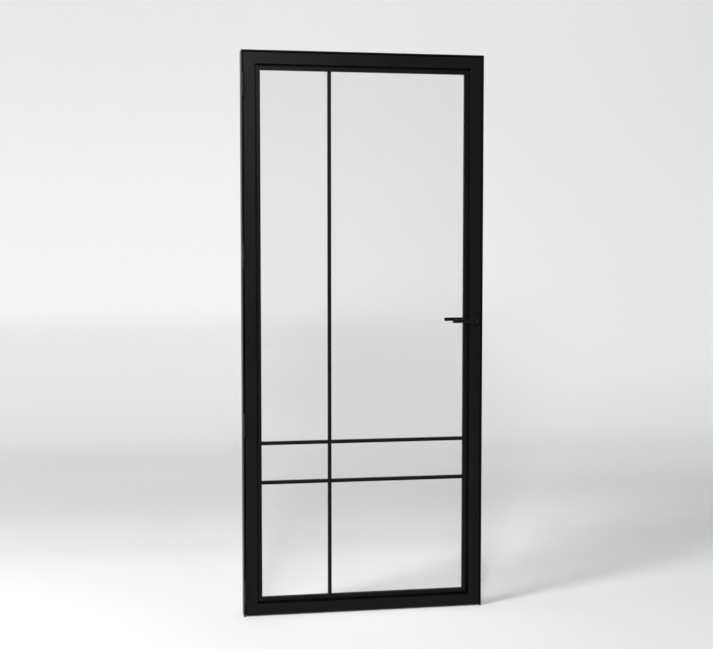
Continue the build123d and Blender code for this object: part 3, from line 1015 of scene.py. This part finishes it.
def loosePlaces(node):
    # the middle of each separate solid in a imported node
    spare = bpy.data.objects.new("spare", cadNodes[node].data.copy())
    bpy.context.scene.collection.objects.link(spare)
    startEdit(spare, "VERT")
    bpy.ops.mesh.select_all(action="SELECT")
    bpy.ops.mesh.remove_doubles(threshold=near / 10)
    bpy.ops.mesh.separate(type="LOOSE")
    endEdit()
    places = []
    for loose in list(bpy.context.selected_objects):
        corners = [Vector(corner) for corner in loose.bound_box]
        places.append((corners[0] + corners[6]) / 2)
        bpy.data.objects.remove(loose)
    return sorted(places, key=lambda p: (round(p.x, 4), round(p.z, 4)))


def makeBeadScrew(shape, place):
    x, _, z = place
    bpy.ops.mesh.primitive_circle_add(
        vertices=shape["sides"],
        radius=shape["shankRadius"],
        fill_type="NGON",
        location=(x, -shape["floor"], z),
        rotation=(math.radians(90), 0, 0),
    )
    screw = settle(bpy.context.object, "beadScrew")
    startEdit(screw, "FACE")
    pick(screw, "faces", lambda f: True)
    drawOut((0, 2 * shape["floor"], 0))
    drawOut((0, 0, 0), shape["headRadius"] / shape["shankRadius"], (x, shape["floor"], z))
    drawOut((0, shape["headHeight"], 0))
    bpy.ops.mesh.select_mode(type="EDGE")
    bpy.ops.mesh.region_to_loop()
    bpy.ops.mesh.bevel(offset=shape["headRound"], segments=4, profile=0.5, clamp_overlap=True)
    endEdit()
    cleanUp(screw)
    top = shape["floor"] + shape["headHeight"]
    bpy.ops.mesh.primitive_cylinder_add(
        vertices=6,
        radius=shape["socketRadius"],
        depth=2 * shape["socketDepth"],
        location=(x, top, z),
        rotation=(math.radians(90), 0, 0),
    )
    combine(screw, settle(bpy.context.object, "socket"), "DIFFERENCE")
    smoothOver(screw, 40)
    return screw


def makeBeadScrews(shape):
    places = loosePlaces("bead_screws")
    first = makeBeadScrew(shape, places[0])
    screws = [first]
    for count, place in enumerate(places[1:], start=2):
        screws.append(copyTo(first, f"beadScrew{count}", place - places[0]))
    dress(joinInto("beadScrews", screws), finishes["blackScrew"], "leaf", "black_steel", "bead_screws")
    print("bead screws made,", len(places))


makeBeadScrews(beadScrew)


# Levers: a turned neck, a bend and a round bar, bored for the square spindle and the grub screw
leverShape = {
    # distances in Y are from the middle of the door, and serve both levers
    "axisX": 0.402,
    "height": 1.05,
    "neckFrom": 0.012,
    "neckTo": 0.053,
    "neckRadius": 0.008,
    "barRadius": 0.0065,
    "barY": 0.065,
    "bend": 0.008,
    "bendSteps": 16,
    "tipX": 0.315,
    "shoulder": 0.0012,
    "tipRound": 0.0015,
    "boreOverrun": 0.001,
    "spindle": 0.0081,
    "spindleEnd": 0.047,
    "grubY": 0.036,
    "grubRadius": 0.00255,
    "sides": 48,
}


def makeLever(shape, name, node, towards):
    # towards is -1 at the front of the door and 1 at the back
    axis = Vector((shape["axisX"], 0, shape["height"]))
    bpy.ops.mesh.primitive_circle_add(
        vertices=shape["sides"],
        radius=shape["neckRadius"],
        fill_type="NGON",
        location=axis + Vector((0, towards * shape["neckFrom"], 0)),
        rotation=(math.radians(90), 0, 0),
    )
    lever = settle(bpy.context.object, name)
    startEdit(lever, "FACE")
    pick(lever, "faces", lambda f: True)
    shoulderAt = axis + Vector((0, towards * shape["neckTo"], 0))
    drawOut((0, towards * (shape["neckTo"] - shape["neckFrom"]), 0))
    drawOut((0, 0, 0), shape["barRadius"] / shape["neckRadius"], shoulderAt)
    bendY = shape["barY"] - shape["bend"]
    drawOut((0, towards * (bendY - shape["neckTo"]), 0))
    bpy.ops.mesh.spin(
        steps=shape["bendSteps"],
        angle=-towards * math.pi / 2,
        center=(shape["axisX"] - shape["bend"], towards * bendY, shape["height"]),
        axis=(0, 0, 1),
    )
    drawOut((shape["tipX"] - (shape["axisX"] - shape["bend"]), 0, 0))
    bpy.ops.mesh.select_mode(type="EDGE")
    bpy.ops.mesh.region_to_loop()
    bpy.ops.mesh.bevel(offset=shape["tipRound"], segments=5, profile=0.5, clamp_overlap=True)
    bpy.ops.mesh.select_all(action="DESELECT")

    def onShoulder(edge):
        away = math.hypot(middle(edge).x - shape["axisX"], middle(edge).z - shape["height"])
        level = all(abs(v.co.y - shoulderAt.y) < near for v in edge.verts)
        return level and away > shape["neckRadius"] * rimShare

    pick(lever, "edges", onShoulder)
    bpy.ops.mesh.bevel(offset=shape["shoulder"], segments=4, profile=0.5, clamp_overlap=True)
    endEdit()
    cleanUp(lever)
    bpy.ops.mesh.primitive_cylinder_add(
        vertices=24,
        radius=shape["grubRadius"],
        depth=shape["neckRadius"],
        location=axis + Vector((0, towards * shape["grubY"], -shape["neckRadius"])),
    )
    combine(lever, settle(bpy.context.object, "drill"), "DIFFERENCE")
    boreFrom, boreTo = shape["neckFrom"] - shape["boreOverrun"], shape["spindleEnd"]
    bpy.ops.mesh.primitive_cube_add(
        size=1,
        location=axis + Vector((0, towards * (boreFrom + boreTo) / 2, 0)),
        scale=(shape["spindle"], boreTo - boreFrom, shape["spindle"]),
    )
    combine(lever, settle(bpy.context.object, "broach"), "DIFFERENCE")
    smoothOver(lever, 40)
    return dress(lever, finishes["leverCoat"], "handle", "lever_coat", node)


makeLever(leverShape, "leverGripFront", "lever_front", -1)
makeLever(leverShape, "leverGripBack", "lever_back", 1)
print("levers made")
